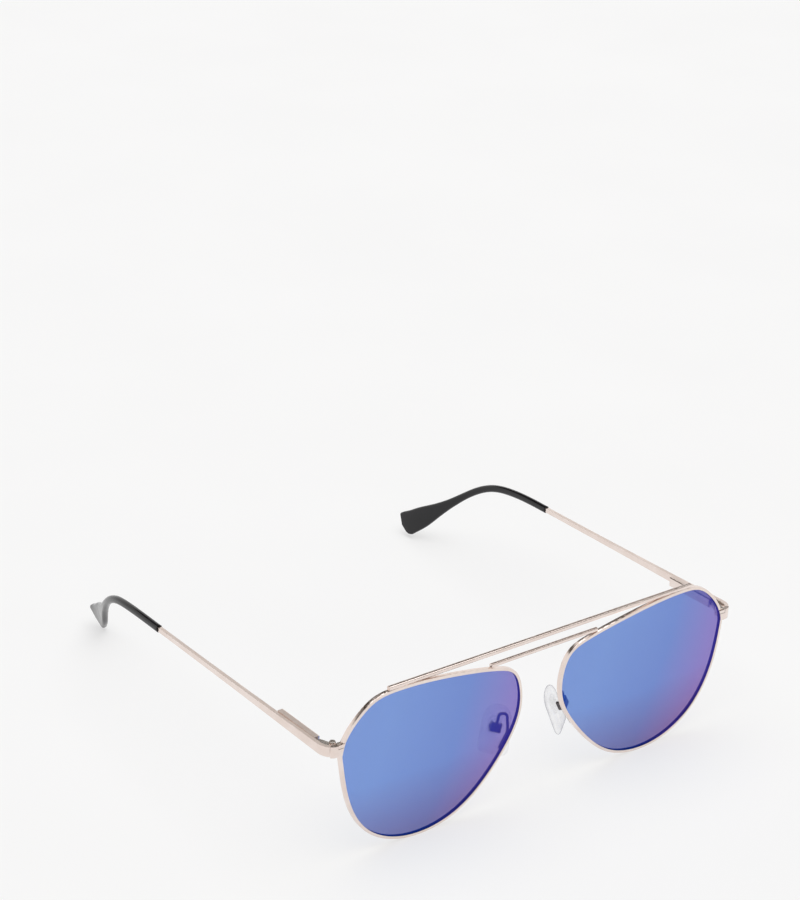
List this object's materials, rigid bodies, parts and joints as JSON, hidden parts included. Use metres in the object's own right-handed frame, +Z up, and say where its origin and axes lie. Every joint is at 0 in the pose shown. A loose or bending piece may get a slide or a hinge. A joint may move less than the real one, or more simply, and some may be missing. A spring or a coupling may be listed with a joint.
{
  "type": "sunglasses",
  "caption": "Metal aviator sunglasses with mirrored lenses, a double straight top bar, spring-hinged folding temples, curved ear tips and rocking silicone nose pads.",
  "frame": {"origin": "on the ground plane, under the middle of the open glasses: midway between the lens fronts and the ends of the temple tips, in the plane of symmetry", "axes": "+X to the wearer's left, +Y from the lenses back along the temples, +Z up"},
  "size_m": [0.1412, 0.1455, 0.0498],
  "materials": {
    "frame_metal": "polished pale rose-gold plating over copper alloy",
    "screw_metal": "bright turned steel",
    "mirror_lens": "blue to violet mirror coating on tinted polycarbonate",
    "tip_plastic": "glossy black acetate",
    "pad_silicone": "clear soft silicone",
    "core_plastic": "clear moulded insert"
  },
  "bodies": {
    "front": {"brow_bar": "frame_metal", "bridge_bar": "frame_metal", "left_rim": "frame_metal", "left_lens": "mirror_lens", "left_endpiece": "frame_metal", "left_rim_lock_block": "frame_metal", "left_rim_lock_screw": "screw_metal", "left_hinge_screw": "screw_metal", "left_pad_arm": "frame_metal", "left_pad_box": "frame_metal", "left_pad_screw": "screw_metal", "right_rim": "frame_metal", "right_lens": "mirror_lens", "right_endpiece": "frame_metal", "right_rim_lock_block": "frame_metal", "right_rim_lock_screw": "screw_metal", "right_hinge_screw": "screw_metal", "right_pad_arm": "frame_metal", "right_pad_box": "frame_metal", "right_pad_screw": "screw_metal"},
    "left_slider": {"left_hinge_slider": "screw_metal", "left_slider_nut": "screw_metal", "left_hinge_spring": "screw_metal"},
    "left_temple": {"left_temple_arm": "frame_metal", "left_spring_housing": "frame_metal", "left_housing_plug": "screw_metal", "left_temple_tip": "tip_plastic"},
    "left_pad": {"left_nose_pad": "pad_silicone", "left_pad_core": "core_plastic"},
    "right_slider": {"right_hinge_slider": "screw_metal", "right_slider_nut": "screw_metal", "right_hinge_spring": "screw_metal"},
    "right_temple": {"right_temple_arm": "frame_metal", "right_spring_housing": "frame_metal", "right_housing_plug": "screw_metal", "right_temple_tip": "tip_plastic"},
    "right_pad": {"right_nose_pad": "pad_silicone", "right_pad_core": "core_plastic"}
  },
  "joints": [
    {"name": "left_temple_fold", "type": "hinge", "parent": "front", "child": "left_slider", "pos_m": [0.0666, -0.06772, 0.0353], "axis": [0, 0, 1], "range_deg": [0, 86]},
    {"name": "left_temple_flex", "type": "slide", "parent": "left_slider", "child": "left_temple", "axis": [0, 0.9983, -0.0584], "range_m": [0, 0.0015], "stiffness_N_per_m": 1500, "springref_m": -0.001, "deforming": ["left_hinge_spring"]},
    {"name": "left_pad_rock", "type": "hinge", "parent": "front", "child": "left_pad", "pos_m": [0.0116, -0.06611, 0.02169], "axis": [-0.7801, -0.5851, -0.2215], "range_deg": [-10, 10]},
    {"name": "right_temple_fold", "type": "hinge", "parent": "front", "child": "right_slider", "pos_m": [-0.0666, -0.06772, 0.0353], "axis": [0, 0, -1], "range_deg": [0, 80]},
    {"name": "right_temple_flex", "type": "slide", "parent": "right_slider", "child": "right_temple", "axis": [0, 0.9983, -0.0584], "range_m": [0, 0.0015], "stiffness_N_per_m": 1500, "springref_m": -0.001, "deforming": ["right_hinge_spring"]},
    {"name": "right_pad_rock", "type": "hinge", "parent": "front", "child": "right_pad", "pos_m": [-0.0116, -0.06611, 0.02169], "axis": [0.7801, -0.5851, -0.2215], "range_deg": [-10, 10]}
  ]
}
